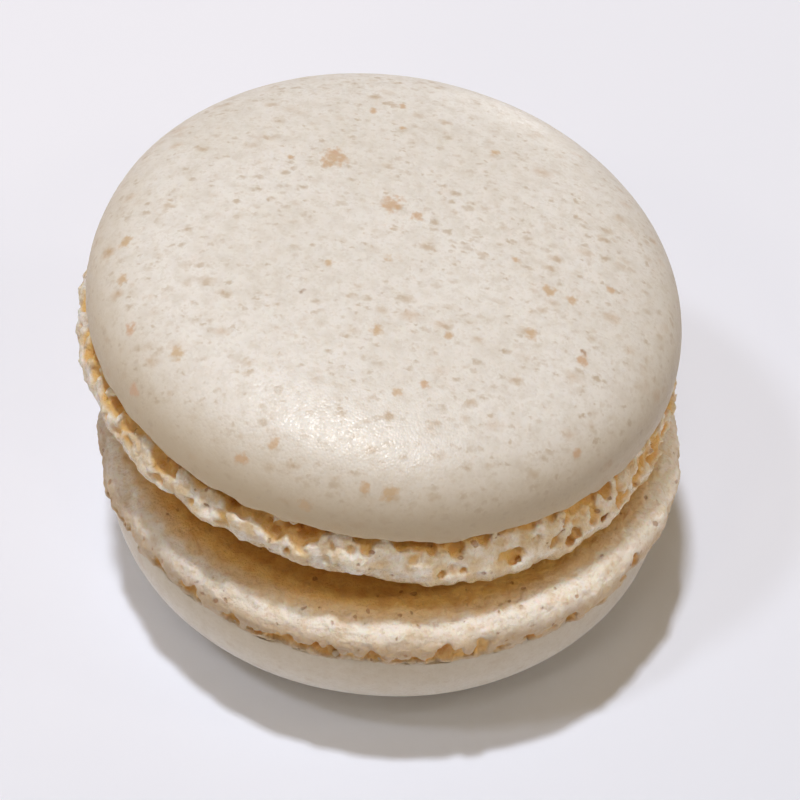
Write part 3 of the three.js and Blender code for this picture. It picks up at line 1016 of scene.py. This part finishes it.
# %% Dress and tie
MATERIALS = {
    upper_cap: skin_material("baked_meringue_skin_with_flecks", with_large_flecks=True,
                             skirt_share=1.0, fleck_share=1.0),
    lower_cap: skin_material("baked_meringue_skin", with_large_flecks=False,
                             skirt_share=0.6, fleck_share=0.4),
    filling: cream_material("caramel_buttercream"),
    upper_foot: froth_material("sugary_meringue_froth", driest=0.45, glossiest=0.2, warm_from=0.4,
                               warm_tone="DAC298", underside_shade_tone="D3B98C"),
    lower_foot: froth_material("dry_meringue_froth", driest=0.6, glossiest=0.32, warm_from=0.5,
                               warm_tone="DFCDB0", underside_shade_tone="C8B191"),
}
for piece, material in MATERIALS.items():
    piece.data.materials.append(material)
    print(piece.name, "is dressed in", material.name)
STANDS_FOR = {"upper_shell": (upper_cap, upper_foot), "lower_shell": (lower_cap, lower_foot),
              "filling": (filling,)}
for cad_node, pieces in STANDS_FOR.items():
    low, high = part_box(cad_node)
    print(cad_node, "CAD box in mm", [round(1000 * c, 1) for c in (*low, *high)])
    for piece in pieces:
        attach(piece, "root")
        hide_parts(cad_node)

# %% [markdown]
# ## Light and table
# A cool white glazed floor throws much light back up under the macaron. Its colour is painted a
# little brighter towards the back left, a painted pool of light.

# %% Floor
FLOOR_HALF, BREATH_SCALE = 0.6, 12.0  # metres, and features to a metre
FLOOR_BRIGHT, FLOOR_DIM = "F6F8FF", "E9EDF5"
FLOOR_SLOPE = (6.0, -6.0, 0)  # how fast it dims across, for each metre


def floor_piece():
    form = bmesh.new()
    bmesh.ops.create_grid(form, x_segments=2, y_segments=2, size=FLOOR_HALF)
    floor = to_object(form, "floor")
    material, tree = new_material("pale_glazed_floor")
    here = add(tree, "TexCoord").outputs["Object"]
    breath = add(tree, "TexNoise", inputs={"Vector": here, "Scale": BREATH_SCALE, "Detail": 2.0})
    # painted light: the floor's colour brighter towards the back left
    across = add(tree, "VectorMath", {"operation": "DOT_PRODUCT"}, {0: here, 1: FLOOR_SLOPE})
    share = add(tree, "Math", {"operation": "ADD", "use_clamp": True}, {
        0: breath.outputs["Fac"], 1: across.outputs["Value"]})
    tone = add(tree, "Mix", MIX, {
        MIX_FACTOR: share.outputs[0], MIX_A: colour(FLOOR_BRIGHT), MIX_B: colour(FLOOR_DIM)})
    shader = add(tree, "BsdfPrincipled", inputs={
        "Base Color": tone.outputs[MIX_RESULT], "Roughness": 0.35})
    add(tree, "OutputMaterial", inputs={"Surface": shader.outputs["BSDF"]})
    floor.data.materials.append(material)
    return floor


floor_piece()

# %% [markdown]
# The main lamp hangs almost overhead, a little behind and to the left, and gives the clear shadow.
# Five weaker ones, lower down, give the faint wide shadows at the sides, and a window behind
# lights the back edge. The broad sheen on the front left shoulder lies further forward than the
# main lamp would put it, so two lamps give gloss alone and the main lamp gives none. One more
# lights only the froth, deep in the gap. The room itself is warm, so that what the lamps don't
# reach turns to cream and amber.

# %% Lamps and sky
# Name, turn and elevation in degrees, distance and size in metres, watts, tint.
LAMPS = [
    ("main_lamp", -107, 82, 3.0, 0.2, 56, "F0F4FF"),
    ("sheen_lamp", -18, 79, 3.0, 0.6, 56, "FFFFFF"),
    ("sheen_lamp_right", 24, 70, 3.0, 0.5, 24, "FFFFFF"),
    ("lamp_left", -64, 58, 2.5, 0.25, 8.8, "EDF2FF"),
    ("lamp_front", -12, 62, 2.5, 0.35, 2.6, "FFFFFF"),
    ("lamp_front_left", -34, 44, 2.5, 0.25, 1.8, "FFF0DA"),
    ("lamp_front_right", 30, 46, 2.5, 0.25, 1.4, "FFF0DA"),
    ("lamp_right", 82, 44, 2.5, 0.25, 1.6, "FFF6EA"),
    ("window_behind", 168, 2, 1.2, 0.15, 0.9, "FFFFFF"),
    ("gap_lamp", 70, 40, 2.5, 0.25, 15.0, "FFF3E2"),
]
ROOM_TINT, ROOM_STRENGTH = "FFDFB0", 0.24


def area_lamp(name, turn, elevation, distance, size, watts, tint):
    """A square lamp that looks at the macaron. turn 0 is the front (-Y) and grows towards +X."""
    lamp = bpy.data.lights.new(name, "AREA")
    lamp.size, lamp.energy, lamp.color = size, watts, colour(tint)[:3]
    piece = bpy.data.objects.new(name, lamp)
    around, up = math.radians(turn), math.radians(elevation)
    away = Vector((math.sin(around) * math.cos(up), -math.cos(around) * math.cos(up),
                   math.sin(up)))
    piece.location = away * distance
    piece.rotation_euler = away.to_track_quat("Z", "Y").to_euler()
    bpy.context.scene.collection.objects.link(piece)
    return piece


lamps = {row[0]: area_lamp(*row) for row in LAMPS}
lamps["main_lamp"].visible_glossy = False
lamps["sheen_lamp"].visible_diffuse = False
lamps["sheen_lamp_right"].visible_diffuse = False

froth_only = bpy.data.collections.new("froth_only")
for piece in (upper_foot, lower_foot):
    froth_only.objects.link(piece)
lamps["gap_lamp"].light_linking.receiver_collection = froth_only

world = bpy.data.worlds.new("soft_room")
world.use_nodes = True
world.node_tree.nodes["Background"].inputs["Color"].default_value = colour(ROOM_TINT)
world.node_tree.nodes["Background"].inputs["Strength"].default_value = ROOM_STRENGTH
bpy.context.scene.world = world
bpy.context.scene.view_settings.view_transform = "Standard"
print(f"{len(lamps)} lamps in a warm room")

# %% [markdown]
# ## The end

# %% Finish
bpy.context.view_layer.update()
print(f"made in {time.time() - started:.0f} s")
